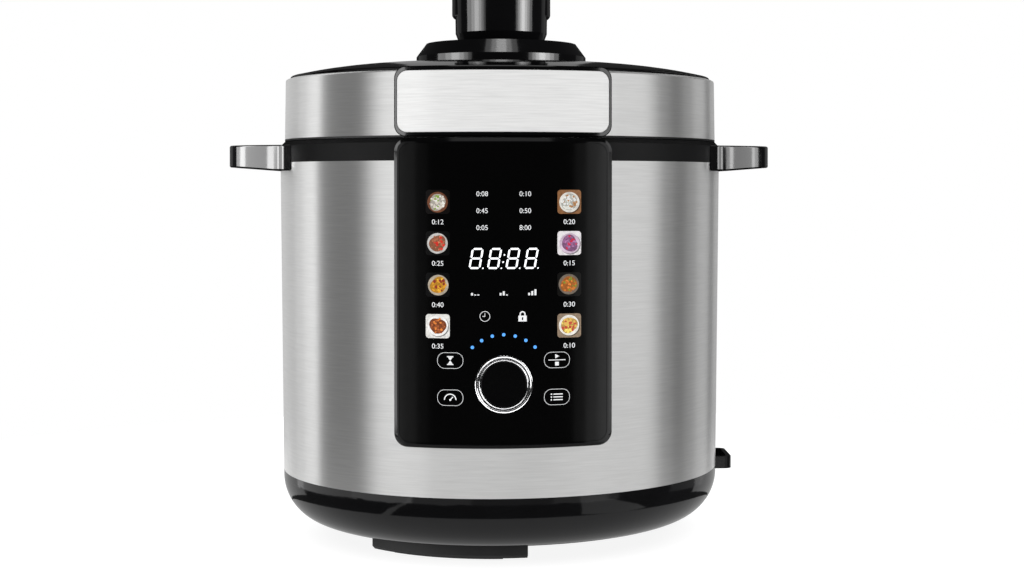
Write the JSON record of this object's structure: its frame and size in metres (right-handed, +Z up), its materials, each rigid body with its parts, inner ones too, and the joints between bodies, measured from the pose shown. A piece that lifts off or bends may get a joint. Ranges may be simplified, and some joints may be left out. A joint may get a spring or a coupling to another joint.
{
  "type": "electric pressure cooker",
  "caption": "Round electric pressure cooker with a twist-lock lid, brushed steel body, loop handles, a curved front control panel and a turning dial.",
  "frame": {"origin": "on the body axis at the counter, under the foot pads", "axes": "+Z up, -Y out of the control panel, +X to the right seen from the front"},
  "size_m": [0.354, 0.3203, 0.3734],
  "materials": {
    "brushed_steel": "vertical-lit circumferential brush",
    "plaque_steel": "bright horizontal brush",
    "sheet_steel": "plain rolled sheet",
    "gloss_black": "high gloss black moulding",
    "matte_black": "fine satin black moulding",
    "lens_black": "tinted glossy panel sheet",
    "chrome": "polished",
    "rubber": "soft black",
    "silicone": "milky silicone",
    "cast_aluminium": "cast and turned",
    "screw_steel": "zinc plated",
    "circuit_board": "coated board",
    "component": "moulded components",
    "brass": "plain",
    "cup_plastic": "translucent grey moulding"
  },
  "bodies": {
    "cooker": {"base_cover": "gloss_black", "arc_feet": "matte_black", "foot_pads": "rubber", "base_screws": "screw_steel", "support_posts": "sheet_steel", "ladle_loop": "gloss_black", "outer_shell": "brushed_steel", "upper_rim": "matte_black", "left_handle": "gloss_black", "right_handle": "gloss_black", "handle_screws": "screw_steel", "rim_screws": "screw_steel", "lock_ring": "sheet_steel", "liner_can": "sheet_steel", "inner_pot": "sheet_steel", "heating_plate": "cast_aluminium", "heater_terminals": "brass", "pressure_diaphragm": "sheet_steel", "pressure_switch": "component", "switch_bracket": "sheet_steel", "thermal_fuse": "component", "sensor_bracket": "sheet_steel", "sensor_spring": "screw_steel", "power_board": "circuit_board", "power_parts": "component", "power_inlet": "matte_black", "inlet_pins": "brass", "panel_frame": "gloss_black", "panel_lens": "lens_black", "control_board": "circuit_board", "display_module": "component", "encoder_body": "component", "cup_bracket": "matte_black"},
    "lid_lock": {"lid_knob": "gloss_black", "knob_cap": "gloss_black", "knob_shaft": "sheet_steel", "shaft_screw": "screw_steel", "lock_plate": "sheet_steel"},
    "steam_valve_body": {"steam_valve": "gloss_black"},
    "float_body": {"float_pin": "sheet_steel", "float_seal": "silicone"},
    "sensor": {"sensor_cap": "cast_aluminium"},
    "dial": {"dial_ring": "chrome", "dial_cap": "gloss_black", "encoder_shaft": "screw_steel"},
    "cup": {"condensate_cup": "cup_plastic"},
    "lid": {"lid_trim": "matte_black", "lid_band": "brushed_steel", "lid_cover": "gloss_black", "plaque_frame": "gloss_black", "lid_plaque": "plaque_steel", "pressure_dish": "sheet_steel", "sealing_ring": "silicone", "dish_screws": "screw_steel", "knob_flange": "gloss_black", "vent_pipe": "sheet_steel", "anti_block_shield": "sheet_steel"}
  },
  "joints": [
    {"name": "lid_lift", "type": "slide", "parent": "cooker", "child": "lid", "axis": [0, 0, 1], "range_m": [0, 0.2]},
    {"name": "lock_turn", "type": "hinge", "parent": "lid", "child": "lid_lock", "pos_m": [0, 0, 0.3], "axis": [0, 0, -1], "range_deg": [0, 30]},
    {"name": "dial_turn", "type": "hinge", "parent": "cooker", "child": "dial", "pos_m": [0, -0.15, 0.1124], "axis": [0, -1, 0], "continuous": true},
    {"name": "steam_valve_turn", "type": "hinge", "parent": "lid", "child": "steam_valve_body", "pos_m": [0, 0.084, 0.31], "axis": [0, 0, 1], "range_deg": [0, 40]},
    {"name": "float_rise", "type": "slide", "parent": "lid", "child": "float_body", "axis": [0, 0, 1], "range_m": [0, 0.005]},
    {"name": "sensor_press", "type": "slide", "parent": "cooker", "child": "sensor", "axis": [0, 0, -1], "range_m": [0, 0.003], "stiffness_N_per_m": 400, "springref_m": -0.005, "deforming": ["sensor_spring"]},
    {"name": "cup_pull", "type": "slide", "parent": "cooker", "child": "cup", "axis": [0, 1, 0], "range_m": [0, 0.03]}
  ]
}
